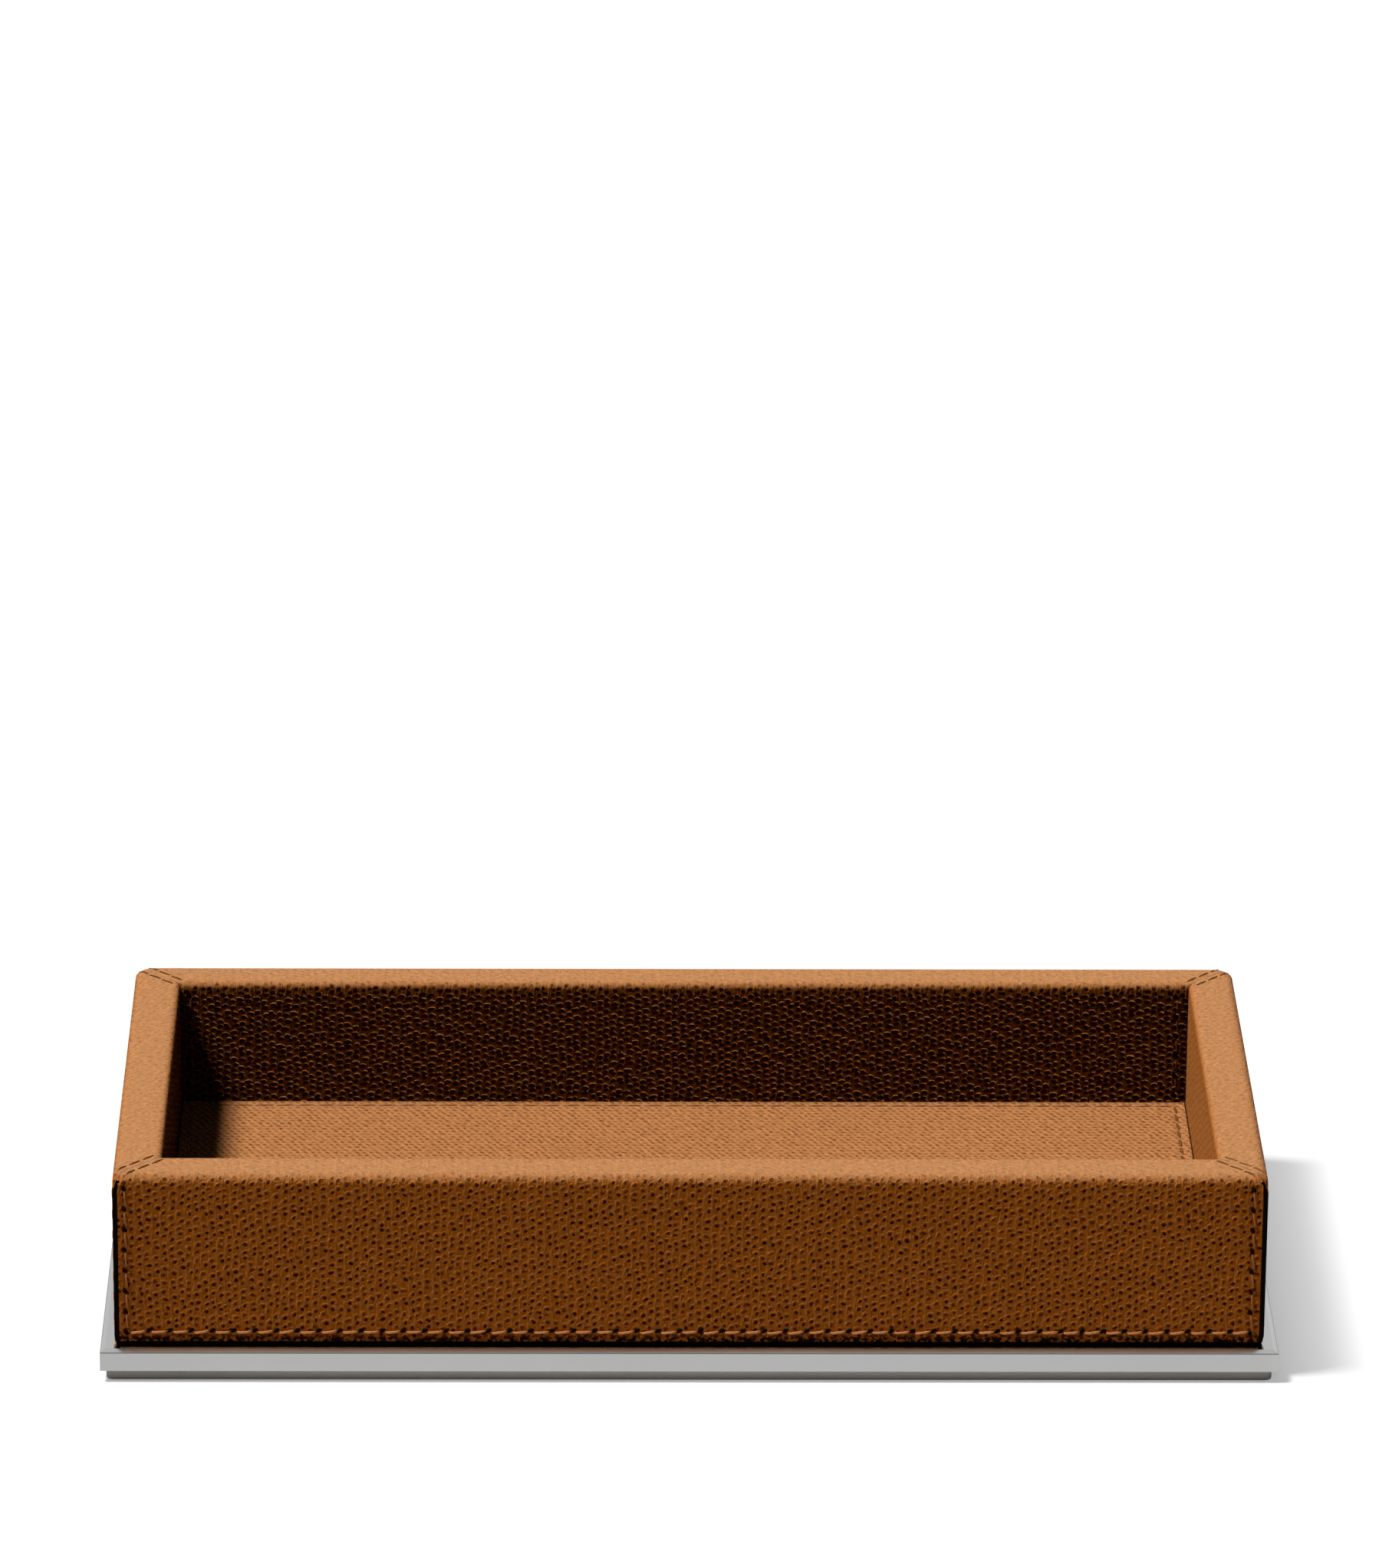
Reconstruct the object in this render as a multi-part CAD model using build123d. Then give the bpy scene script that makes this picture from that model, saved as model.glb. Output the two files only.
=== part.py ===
from build123d import *
import os

os.makedirs("parts", exist_ok=True)

# Valet tray: four mitred wall boards covered in grained leather, a stitched leather floor,
# and a bevelled metal base plate on a rubber underlay. The length runs along X, the front faces -Y,
# Z is up and the origin is the centre of the underside. All lengths are in millimetres.

# Body
body_length = 240.0
body_width = 114.5
body_height = 38.5

# Boards and leather
board_thickness = 8.0
bottom_board_thickness = 8.0
floor_card_thickness = 1.8
leather_thickness = 1.0
flap_lift = 0.7

# Softened edges of the wall boards, which the leather follows
board_outer_round = 0.9
board_inner_round = 0.3
corner_ease = 1.2
corner_fade = 2.2
upright_edge_radius = 0.3

# Joints between the boards
tongue_thickness = 3.0
tongue_reach = 2.2
spline_thickness = 2.4
spline_length = 7.0
spline_end_cover = 8.5
glue_gap = 0.1

# Loose floor insert
floor_gap = 0.3

# Stitching
stitch_pitch = 4.45
hole_spacing_gap = 1.1
thread_width = 0.6
thread_proud = 0.25
thread_sink = 0.3
thread_slant = 0.35
thread_edge_break = 0.12
edge_row_inset = 2.7
low_row_lift = 2.2
wall_row_drop = 3.0
seam_row_offset = 1.4
seam_row_outer_inset = 1.9
seam_row_inner_inset = 0.6
floor_row_inset = 2.2
inner_row_inset = 2.3
inner_row_lift = 1.5

# Base plate, rubber underlay and screws
plate_overhang = 3.0
plate_thickness = 4.7
plate_bevel = 0.7
underlay_thickness = 2.5
underlay_inset = 1.2
underlay_corner_radius = 1.5
screw_diameter = 3.0
screw_head_diameter = 5.8
screw_head_height = 1.7
screw_length = 14.0
screw_tip_length = 2.5
screw_clearance = 0.2
drive_slot_length = 3.2
drive_slot_width = 0.7
drive_slot_depth = 0.9
long_wall_screw_shares = (-0.66, 0.0, 0.66)
short_wall_screw_share = 0.0

# One overrun serves every cut that has to pass through a surface.
overrun = 1.0

# Levels and spans that follow from the sizes above
wall_thickness = board_thickness + 2 * leather_thickness
half_length = body_length / 2
half_width = body_width / 2
plate_top = underlay_thickness + plate_thickness
body_top = plate_top + body_height
bottom_board_top = plate_top + bottom_board_thickness
floor_top = bottom_board_top + floor_card_thickness + leather_thickness
flap_bottom = plate_top + flap_lift
outer_edge_radius = leather_thickness + board_outer_round
inner_edge_radius = leather_thickness + board_inner_round
corner_shoulder = body_top - outer_edge_radius - corner_fade
board_mid_inset = leather_thickness + board_thickness / 2
cavity_length = body_length - 2 * wall_thickness
cavity_width = body_width - 2 * wall_thickness


def slab(length, width, low, high):
    """Upright block centred on the vertical axis between two levels."""
    return Pos(0, 0, (low + high) / 2) * Box(length, width, high - low)


def prism(points, low, high):
    """Upright prism over a plan outline between two levels."""
    return Pos(0, 0, low) * extrude(Polygon(*points, align=None), high - low, dir=(0, 0, 1))


def rounded_block(inset, low):
    """Outside of the walls drawn in by an inset, with softened top corners and edges."""
    edge_radius = outer_edge_radius - inset
    length = body_length - 2 * inset
    width = body_width - 2 * inset
    plan = RectangleRounded(length, width, upright_edge_radius)
    crown = RectangleRounded(length, width, edge_radius + corner_ease)
    foot = Pos(0, 0, low) * extrude(plan, corner_shoulder - low)
    head = loft([Pos(0, 0, corner_shoulder) * plan, Pos(0, 0, body_top - inset) * crown], ruled=True)
    block = foot + head
    rim = block.faces().sort_by(Axis.Z)[-1].edges()
    return fillet(rim, edge_radius)


def wall_ring(inset, low):
    """The four walls in one ring, all surfaces drawn in by an inset."""
    thickness = wall_thickness - 2 * inset
    opening_length = cavity_length + 2 * inset
    opening_width = cavity_width + 2 * inset
    opening = slab(opening_length, opening_width, low - overrun, body_top + overrun)
    ring = rounded_block(inset, low) - opening
    top_edges = ring.faces().sort_by(Axis.Z)[-1].edges()
    reach_x = (opening_length + thickness) / 2
    reach_y = (opening_width + thickness) / 2
    inner_edges = [
        edge for edge in top_edges
        if abs(edge.center().X) < reach_x and abs(edge.center().Y) < reach_y
    ]
    return fillet(inner_edges, inner_edge_radius - inset)


def wall_sector(side):
    """Plan sector of the front or left wall, bounded by the two mitre planes."""
    ridge = half_length - half_width
    if side == "front":
        points = [(-half_length, -half_width), (half_length, -half_width), (ridge, 0), (-ridge, 0)]
    else:
        points = [(-half_length, half_width), (-half_length, -half_width), (-ridge, 0)]
    return prism(points, plate_top, body_top)


def corner_signs():
    """The four corners as pairs of signs along X and Y."""
    return [(x, y) for x in (-1, 1) for y in (-1, 1)]


def spline_blocks(clearance):
    """Loose keys across the mitres, grown by a clearance for their slots."""
    board_height = body_height - leather_thickness
    level = plate_top + board_height / 2
    block = Box(
        spline_length + 2 * clearance,
        spline_thickness + 2 * clearance,
        board_height - 2 * spline_end_cover + 2 * clearance,
    )
    return [
        Pos(x * (half_length - board_mid_inset), y * (half_width - board_mid_inset), level)
        * Rot(0, 0, -45 * x * y)
        * block
        for x, y in corner_signs()
    ]


def screw_points():
    """Plan positions of the base screws, all on the middle lines of the wall boards."""
    reach_x = half_length - board_mid_inset
    reach_y = half_width - board_mid_inset
    long_walls = [
        (share * half_length, side * reach_y) for share in long_wall_screw_shares for side in (-1, 1)
    ]
    short_walls = [(side * reach_x, short_wall_screw_share * half_width) for side in (-1, 1)]
    return long_walls + short_walls


def screw_holes():
    """Pilot holes that the screw shanks fill."""
    low = plate_top - overrun
    high = underlay_thickness + screw_length
    hole = Pos(0, 0, (low + high) / 2) * Cylinder(screw_diameter / 2, high - low)
    return [Pos(x, y, 0) * hole for x, y in screw_points()]


def tongued_bottom(reach, clearance):
    """Bottom board outline with its tongue, grown by a clearance for the grooves."""
    middle = plate_top + bottom_board_thickness / 2
    half_tongue = tongue_thickness / 2 + clearance
    board = slab(
        cavity_length + 2 * leather_thickness,
        cavity_width + 2 * leather_thickness,
        plate_top,
        bottom_board_top,
    )
    tongue = slab(
        cavity_length + 2 * leather_thickness + 2 * reach,
        cavity_width + 2 * leather_thickness + 2 * reach,
        middle - half_tongue,
        middle + half_tongue,
    )
    return board + tongue


def make_boards():
    """Mitred front and left boards with grooves, spline slots and pilot holes."""
    ring = wall_ring(leather_thickness, plate_top)
    ring -= tongued_bottom(tongue_reach + glue_gap, glue_gap)
    ring -= spline_blocks(glue_gap)
    ring -= screw_holes()
    return {side: ring & wall_sector(side) for side in ("front", "left")}


def row_places(start, end, normal):
    """Places of the stitches in one row, each with X along the row and Z out of the leather."""
    run = end - start
    count = max(1, round(run.length / stitch_pitch))
    step = run / count
    return [
        Plane(origin=start + step * (index + 0.5), x_dir=run, z_dir=normal).location
        for index in range(count)
    ]


def row_step(start, end):
    """Actual distance between the holes of one row."""
    run = (end - start).length
    return run / max(1, round(run / stitch_pitch))


def sew_row(start, end, normal):
    """Stitches of one row and the shallow seats pressed into the leather under them."""
    length = row_step(start, end) - hole_spacing_gap
    half = length / 2
    profile = [
        (-half, -thread_sink),
        (half, -thread_sink),
        (half, 0),
        (half - thread_slant, thread_proud),
        (-half + thread_slant, thread_proud),
        (-half, 0),
    ]
    side_plane = Plane(origin=(0, 0, 0), x_dir=(1, 0, 0), z_dir=(0, -1, 0))
    blank = extrude(side_plane * Polygon(*profile, align=None), thread_width / 2, both=True)
    crest = blank.faces().sort_by(Axis.Z)[-1].edges().filter_by(Axis.X)
    thread = chamfer(crest, thread_edge_break)
    seat = Pos(0, 0, (overrun - thread_sink) / 2) * Box(length, thread_width, overrun + thread_sink)
    places = row_places(start, end, normal)
    return [place * thread for place in places], [place * seat for place in places]


def sew_rows(rows):
    """Stitches and seats of several rows together."""
    threads = []
    seats = []
    for start, end, normal in rows:
        row_threads, row_seats = sew_row(start, end, normal)
        threads += row_threads
        seats += row_seats
    return threads, seats


def outer_rows(side):
    """Rows along both uprights and the lower edge of the front or left face."""
    low = Vector(0, 0, flap_bottom + low_row_lift)
    high = Vector(0, 0, body_top - wall_row_drop)
    if side == "front":
        reach = half_length - edge_row_inset
        corners = [Vector(-reach, -half_width, 0), Vector(reach, -half_width, 0)]
        normal = Vector(0, -1, 0)
    else:
        reach = half_width - edge_row_inset
        corners = [Vector(-half_length, -reach, 0), Vector(-half_length, reach, 0)]
        normal = Vector(-1, 0, 0)
    uprights = [(corner + low, corner + high, normal) for corner in corners]
    return uprights + [(corners[0] + low, corners[1] + low, normal)]


def seam_rows(side):
    """Rows beside the mitre seams on the top of the front or left wall."""
    rows = []
    for end in (-1, 1):
        x, y = (end, -1) if side == "front" else (-1, end)
        outer_corner = Vector(x * half_length, y * half_width, body_top)
        inner_corner = Vector(x * cavity_length / 2, y * cavity_width / 2, body_top)
        seam = (outer_corner - inner_corner).normalized()
        away = Vector(-x, y, 0) if side == "front" else Vector(x, -y, 0)
        shift = away.normalized() * seam_row_offset
        start = inner_corner + seam * seam_row_inner_inset + shift
        stop = outer_corner - seam * seam_row_outer_inset + shift
        rows.append((start, stop, Vector(0, 0, 1)))
    return rows


def inner_rows():
    """Upright rows beside the inner corners of the front wall."""
    face = -cavity_width / 2
    reach = cavity_length / 2 - inner_row_inset
    low = floor_top + inner_row_lift
    high = body_top - wall_row_drop
    return [
        (Vector(end * reach, face, low), Vector(end * reach, face, high), Vector(0, 1, 0))
        for end in (-1, 1)
    ]


def floor_rows():
    """Rows along the four edges of the floor leather."""
    reach_x = cavity_length / 2 - floor_gap - floor_row_inset
    reach_y = cavity_width / 2 - floor_gap - floor_row_inset
    corners = [
        Vector(-reach_x, -reach_y, floor_top),
        Vector(reach_x, -reach_y, floor_top),
        Vector(reach_x, reach_y, floor_top),
        Vector(-reach_x, reach_y, floor_top),
    ]
    return [(corners[index - 1], corners[index], Vector(0, 0, 1)) for index in range(len(corners))]


def make_skin():
    """Leather over all four walls in one ring, from the outer flaps to the inner flaps."""
    skin = wall_ring(0, flap_bottom) - wall_ring(leather_thickness, plate_top)
    return skin - slab(
        cavity_length + 2 * leather_thickness,
        cavity_width + 2 * leather_thickness,
        plate_top,
        bottom_board_top,
    )


def make_covers():
    """Folded leather of the front and left walls; the raw side ends show at the corners."""
    skin = make_skin()
    rise = body_height - outer_edge_radius
    raw_end = Box(leather_thickness, leather_thickness, rise)
    raw_ends = [
        Pos(
            x * (half_length - leather_thickness / 2),
            y * (half_width - leather_thickness / 2),
            plate_top + rise / 2,
        )
        * raw_end
        for x, y in corner_signs()
    ]
    left_sector = wall_sector("left") + [end for end in raw_ends if end.center().X < 0]
    covers = {"front": (skin & wall_sector("front")) - raw_ends, "left": skin & left_sector}
    threads = {}
    for side in ("front", "left"):
        threads[side, "outer"], outer_seats = sew_rows(outer_rows(side))
        threads[side, "seam"], seam_seats = sew_rows(seam_rows(side))
        covers[side] -= outer_seats + seam_seats
    threads["front", "inner"], inner_seats = sew_rows(inner_rows())
    covers["front"] -= inner_seats
    return covers, threads


def make_floor():
    """Loose insert: stiff card below, stitched leather above."""
    length = cavity_length - 2 * floor_gap
    width = cavity_width - 2 * floor_gap
    card = slab(length, width, bottom_board_top, bottom_board_top + floor_card_thickness)
    sheet = slab(length, width, floor_top - leather_thickness, floor_top)
    threads, seats = sew_rows(floor_rows())
    return card, sheet - seats, threads


def make_screw():
    """Countersunk screw pointing up, its head face at the lower level."""
    radius = screw_diameter / 2
    outline = [
        (0, 0),
        (screw_head_diameter / 2, 0),
        (radius, screw_head_height),
        (radius, screw_length - screw_tip_length),
        (0, screw_length),
    ]
    upright = Plane(origin=(0, 0, 0), x_dir=(1, 0, 0), z_dir=(0, -1, 0))
    body = revolve(upright * Polygon(*outline, align=None), Axis.Z)
    slot = Pos(0, 0, drive_slot_depth / 2) * Box(drive_slot_length, drive_slot_width, drive_slot_depth)
    return body - slot - Rot(0, 0, 90) * slot


def make_plate():
    """Bevelled base plate with countersunk holes from below."""
    plate = slab(
        body_length + 2 * plate_overhang,
        body_width + 2 * plate_overhang,
        underlay_thickness,
        plate_top,
    )
    plate = chamfer(plate.faces().sort_by(Axis.Z)[-1].edges(), plate_bevel)
    middle = (underlay_thickness + plate_top) / 2
    hole_radius = screw_diameter / 2 + screw_clearance
    hole = Pos(0, 0, middle) * Cylinder(hole_radius, plate_thickness + 2 * overrun)
    seat = Pos(0, 0, underlay_thickness + screw_head_height / 2) * Cone(
        screw_head_diameter / 2, screw_diameter / 2, screw_head_height
    )
    cutter = hole + seat
    return plate - [Pos(x, y, 0) * cutter for x, y in screw_points()]


def make_underlay():
    """Rubber underlay that keeps the plate from slipping."""
    length = body_length + 2 * plate_overhang - 2 * underlay_inset
    width = body_width + 2 * plate_overhang - 2 * underlay_inset
    return extrude(RectangleRounded(length, width, underlay_corner_radius), underlay_thickness)


def group(solids):
    """Separate solids kept together as one node."""
    return Compound(children=[solid.solid() for solid in solids])


def opposite(solids, plane):
    """The same solids mirrored to the other side of the tray."""
    return [mirror(solid, plane) for solid in solids]


boards = make_boards()
covers, threads = make_covers()
floor_card, floor_leather, floor_threads = make_floor()
screw = make_screw()
screws = [Pos(x, y, underlay_thickness) * screw for x, y in screw_points()]

for side, far_side, plane in (("front", "back", Plane.XZ), ("left", "right", Plane.YZ)):
    outer = threads[side, "outer"]
    export_step(boards[side], "parts/" + side + "_board.step")
    export_step(mirror(boards[side], plane), "parts/" + far_side + "_board.step")
    export_step(covers[side], "parts/" + side + "_cover.step")
    export_step(mirror(covers[side], plane), "parts/" + far_side + "_cover.step")
    export_step(group(outer), "parts/" + side + "_stitches.step")
    export_step(group(opposite(outer, plane)), "parts/" + far_side + "_stitches.step")

seam_threads = []
for side, plane in (("front", Plane.XZ), ("left", Plane.YZ)):
    seam_threads += threads[side, "seam"] + opposite(threads[side, "seam"], plane)
inner_threads = threads["front", "inner"] + opposite(threads["front", "inner"], Plane.XZ)

export_step(group(seam_threads), "parts/seam_stitches.step")
export_step(group(inner_threads), "parts/inner_stitches.step")
export_step(group(floor_threads), "parts/floor_stitches.step")
export_step(floor_leather, "parts/floor_leather.step")
export_step(floor_card, "parts/floor_card.step")
export_step(group(spline_blocks(0)), "parts/corner_splines.step")
export_step(tongued_bottom(tongue_reach, 0) - screw_holes(), "parts/bottom_board.step")
export_step(make_plate(), "parts/base_plate.step")
export_step(group(screws), "parts/base_screws.step")
export_step(make_underlay(), "parts/base_underlay.step")
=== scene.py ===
# %% [markdown]
# # A leather valet tray on a steel plate
# The tray is four mitred boards covered in pebbled tan leather, a sewn leather floor, and a
# bevelled steel plate on a rubber underlay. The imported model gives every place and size.
# This lesson dresses it: what can be seen is modelled again with its folds, seams and holes,
# and each material gets the detail of the real one. Lengths are written in millimetres and
# turned to metres by one factor.

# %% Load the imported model
import math
import random
from types import SimpleNamespace

import bmesh
import bpy
from mathutils import Matrix, Vector


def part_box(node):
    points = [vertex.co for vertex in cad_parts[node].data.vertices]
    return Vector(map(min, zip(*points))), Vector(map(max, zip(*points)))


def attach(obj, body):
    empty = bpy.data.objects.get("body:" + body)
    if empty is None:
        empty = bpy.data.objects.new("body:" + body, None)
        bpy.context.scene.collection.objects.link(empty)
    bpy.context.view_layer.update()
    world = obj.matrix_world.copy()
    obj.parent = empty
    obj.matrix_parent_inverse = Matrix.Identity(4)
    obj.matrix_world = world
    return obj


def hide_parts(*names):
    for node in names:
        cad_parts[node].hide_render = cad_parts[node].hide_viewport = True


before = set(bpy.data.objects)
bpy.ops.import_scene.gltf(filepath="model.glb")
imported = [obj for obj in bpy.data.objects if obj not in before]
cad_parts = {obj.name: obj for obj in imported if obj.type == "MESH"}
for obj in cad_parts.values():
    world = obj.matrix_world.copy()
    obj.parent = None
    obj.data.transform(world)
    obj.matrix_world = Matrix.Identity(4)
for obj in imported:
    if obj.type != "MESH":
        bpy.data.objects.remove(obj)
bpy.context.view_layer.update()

MM = 0.001
BODY = "root"
scene = bpy.context.scene

# %% [markdown]
# ## Levels and faces
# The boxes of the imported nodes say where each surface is, so the new pieces land in the same
# places. Only details that no box shows, such as the insets of the stitch rows, are written
# here as numbers.

# %% Read the main levels from the nodes
plate_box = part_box("base_plate")
side_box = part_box("right_cover")
floor_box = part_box("floor_leather")

HALF_LENGTH = side_box[1].x / MM
HALF_WIDTH = side_box[1].y / MM
TOP = side_box[1].z / MM
FLAP_FOOT = side_box[0].z / MM
WALL = (side_box[1].x - side_box[0].x) / MM
PLATE_TOP = plate_box[1].z / MM
PLATE_FOOT = plate_box[0].z / MM
FLOOR_TOP = floor_box[1].z / MM
FLOOR_FOOT = floor_box[0].z / MM
INNER_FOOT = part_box("floor_card")[0].z / MM
LEATHER = FLOOR_TOP - FLOOR_FOOT
OUTER_ROUND = 1.9
INNER_ROUND = 1.3
PITCH = 4.45
HOLE_GAP = 1.1
print("tray", round(2 * HALF_LENGTH, 1), "x", round(2 * HALF_WIDTH, 1), "mm")
print("walls", round(WALL, 1), "mm thick, leather", round(LEATHER, 1), "mm")

# %% [markdown]
# ## Camera
# The photograph was taken with a long lens from a little left of the middle, looking about
# 21 degrees down, with the tray low in the frame. Azimuth, elevation, roll, distance, focal
# length and the point looked at were fitted to the corners of the tray, so the camera is
# worked out from those numbers.

# %% Place the camera
AZIMUTH, ELEVATION, ROLL = (math.radians(value) for value in (0.8589, 21.1506, 0.4154))
AIM = Vector((-0.0155, 0.0, 110.674)) * MM
DISTANCE = 1912.005 * MM
FOCAL_PIXELS = 11835.9
LONG_SIDE = 2044
SENSOR = 36.0

forward = Vector((
    math.sin(AZIMUTH) * math.cos(ELEVATION),
    math.cos(AZIMUTH) * math.cos(ELEVATION),
    -math.sin(ELEVATION),
))
level_right = Vector((math.cos(AZIMUTH), -math.sin(AZIMUTH), 0.0))
level_up = level_right.cross(forward)
camera_x = level_right * math.cos(ROLL) + level_up * math.sin(ROLL)
camera_y = level_up * math.cos(ROLL) - level_right * math.sin(ROLL)

camera_data = bpy.data.cameras.new("photo_camera")
camera_data.sensor_width = SENSOR
camera_data.lens = FOCAL_PIXELS * SENSOR / LONG_SIDE
camera_data.clip_start = 0.05
camera = bpy.data.objects.new("photo_camera", camera_data)
scene.collection.objects.link(camera)
axes = Matrix((camera_x, camera_y, -forward)).transposed().to_4x4()
camera.matrix_world = Matrix.Translation(AIM - forward * DISTANCE) @ axes
scene.camera = camera
print("lens", round(camera_data.lens, 2), "mm")

# %% [markdown]
# ## Shader maths as sums
# A material is a graph of nodes. Writing the graph as Python sums keeps it short: a Wire
# holds one output, and each operator adds the Math node that it stands for. A Recipe owns
# the node tree of one material, or of the world, and makes any other node.

# %% Wires and recipes
def operation(name, swap=False):
    """Method that adds one Math node to the graph."""
    def method(self, other=None):
        pair = (other, self) if swap else (self, other)
        values = {index: value for index, value in enumerate(pair) if value is not None}
        return self.recipe.node("ShaderNodeMath", {"operation": name}, values)
    return method


class Wire:
    """One output of a node, which can be used in sums."""

    def __init__(self, recipe, socket):
        self.recipe = recipe
        self.socket = socket

    __add__ = operation("ADD")
    __radd__ = operation("ADD")
    __sub__ = operation("SUBTRACT")
    __rsub__ = operation("SUBTRACT", swap=True)
    __mul__ = operation("MULTIPLY")
    __rmul__ = operation("MULTIPLY")
    __pow__ = operation("POWER")
    sine = operation("SINE")
    exponential = operation("EXPONENT")
    least = operation("MINIMUM")
    most = operation("MAXIMUM")
    size = operation("ABSOLUTE")


class Recipe:
    """Node tree of one material or world, its owner."""

    def __init__(self, name, library=bpy.data.materials):
        self.owner = library.new(name)
        self.owner.use_nodes = True
        self.tree = self.owner.node_tree
        self.tree.nodes.clear()

    def node(self, kind, settings=None, values=None, output=0):
        """Adds a node with its settings and inputs and gives one of its outputs."""
        made = self.tree.nodes.new(kind)
        for key, value in (settings or {}).items():
            if key == "stops":
                self.set_stops(made.color_ramp, value)
            else:
                setattr(made, key, value)
        for key, value in (values or {}).items():
            socket = made.inputs[key]
            if isinstance(value, Wire):
                self.tree.links.new(value.socket, socket)
            else:
                socket.default_value = value
        return Wire(self, made.outputs[output]) if len(made.outputs) else made

    @staticmethod
    def set_stops(ramp, stops):
        """Gives a colour ramp its stops as pairs of place and grey level or colour."""
        while len(ramp.elements) < len(stops):
            ramp.elements.new(0.5)
        for element, (place, tone) in zip(ramp.elements, stops):
            element.position = place
            element.color = (tone, tone, tone, 1.0) if isinstance(tone, float) else (*tone, 1.0)

    def ramp(self, factor, stops):
        """Colour ramp over a value."""
        return self.node("ShaderNodeValToRGB", {"stops": stops}, {"Fac": factor})

    def blend(self, factor, first, second, way="MIX"):
        """Mix of two colours."""
        first = first if isinstance(first, Wire) else (*first, 1.0)
        second = second if isinstance(second, Wire) else (*second, 1.0)
        return self.node(
            "ShaderNodeMix",
            {"data_type": "RGBA", "blend_type": way},
            {0: factor, 6: first, 7: second},
            output=2,
        )

    def place(self, output="Object"):
        """Coordinates of the piece, its own UV map or its object space."""
        return self.node("ShaderNodeTexCoord", output=output)

    def parts(self, vector):
        """The three numbers of a vector."""
        split = self.tree.nodes.new("ShaderNodeSeparateXYZ")
        self.tree.links.new(vector.socket, split.inputs[0])
        return [Wire(self, split.outputs[index]) for index in range(3)]

    def join(self, x, y, z=0.0):
        """A vector from three numbers."""
        return self.node("ShaderNodeCombineXYZ", None, {0: x, 1: y, 2: z})

    def noise(self, vector, scale, detail=3.0, roughness=0.55, output=0):
        """Fractal noise."""
        values = {"Vector": vector, "Scale": scale, "Detail": detail, "Roughness": roughness}
        return self.node("ShaderNodeTexNoise", None, values, output)

    def bump(self, height, distance, strength=1.0):
        """Normal that follows a height."""
        values = {"Height": height, "Distance": distance, "Strength": strength}
        return self.node("ShaderNodeBump", None, values, "Normal")

    def surface(self, values):
        """Principled surface as the material's finish."""
        shader = self.node("ShaderNodeBsdfPrincipled", None, values)
        self.node("ShaderNodeOutputMaterial", None, {"Surface": shader})
        return self.owner

    def grained(self, grain, tone, rough, spread, specular, depth):
        """Surface of one colour whose roughness and relief both follow a grain."""
        return self.surface({
            "Base Color": tone,
            "Roughness": rough + (grain - 0.5) * spread,
            "Specular IOR Level": specular,
            "Normal": self.bump(grain, depth * MM),
        })


# %% [markdown]
# The sheet coordinate of a point is the way along the leather from the foot of the outer
# flap: straight up, round the outer fold, across the top, round the inner fold and down.

# %% Way along the sheet
def sheet_way(depth, z):
    """Way along the folded sheet, from the depth behind the outer face and the level."""
    up = TOP - OUTER_ROUND - FLAP_FOOT
    over = up + OUTER_ROUND * math.pi / 2
    across = over + WALL - OUTER_ROUND - INNER_ROUND
    if depth < OUTER_ROUND:
        if z <= TOP - OUTER_ROUND:
            return z - FLAP_FOOT
        return up + OUTER_ROUND * math.atan2(z - TOP + OUTER_ROUND, OUTER_ROUND - depth)
    if depth <= WALL - INNER_ROUND:
        return over + depth - OUTER_ROUND
    if z > TOP - INNER_ROUND:
        turn = math.atan2(depth - WALL + INNER_ROUND, z - TOP + INNER_ROUND)
        return across + INNER_ROUND * turn
    return across + INNER_ROUND * math.pi / 2 + TOP - INNER_ROUND - z


# %% [markdown]
# ## Pebbled leather
# The leather is a tan hide printed with columns of small round pores, about 1.8 mm apart,
# each inside a soft raised ring. The columns run up the walls, over the fold and down
# inside, because the print is in the sheet. So the pattern is drawn in the coordinates of the
# flat sheet, which the pieces keep in their UV map. A Voronoi texture in skewed coordinates
# gives one point per pore, a little out of line; the distance to that point, measured in true
# millimetres, shapes the pore and its ring. Light that grazes the walls draws one side of
# each ring as a bright crescent, and that side, the one towards the lamp, is also painted
# paler, a painted highlight.
#
# The print changes along the sheet. Over the top of a wall it is pulled flat, and there the
# tan is painted paler, a painted sheen. The pores are painted dark, painted shade, deepest
# on the walls and faint on the tops. On the inner flap the leather is painted darker,
# painted shade, with wider and darker pores closer together, except on the right wall, where
# the flap faces the lamp and is painted pale, painted light, and nearly smooth. At the foot
# of the outer flap, where the lip curls under, the leather is painted darker, painted shade,
# with near-black blotches. The floor has a finer and more even print of slanted dashes, in a
# tan paler than the walls, partly a painted sheen. For light that it throws on what is near
# it the leather has a near-black tone, which paints the shade deeper and keeps the contrast
# high, and in the steel it shows a brighter, redder tone, a painted reflection.

# %% Leather tones and the print
UV_UNIT = 100.0
LEATHER_TONE = (0.57, 0.152, 0.004)
# Painted sheen on the tops; also the paler strands of the floor.
SHEEN_AND_STRAND_TONE = (0.70, 0.316, 0.124)
# Floor tan, partly a painted sheen.
FLOOR_TAN_AND_SHEEN_TONE = (0.72, 0.296, 0.103)
# Paler worn strands, and the painted highlight on the crescents towards the lamp.
HIGHLIGHT_AND_WEAR_TONE = (0.66, 0.240, 0.060)
# Painted highlight on the crescents of the inner flap.
ARC_HIGHLIGHT_TONE = (0.90, 0.380, 0.110)
# Painted shade in the pores of the walls and, lighter, of the floor.
PORE_SHADE_TONE = (0.044, 0.005, 0.0005)
DOT_SHADE_TONE = (0.15, 0.038, 0.006)
# Painted shade at the foot of the outer flap, and its near-black blotches.
LIP_SHADE_TONE = (0.42, 0.110, 0.012)
FOOT_BLOTCH_TONE = (0.008, 0.002, 0.0005)
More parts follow.
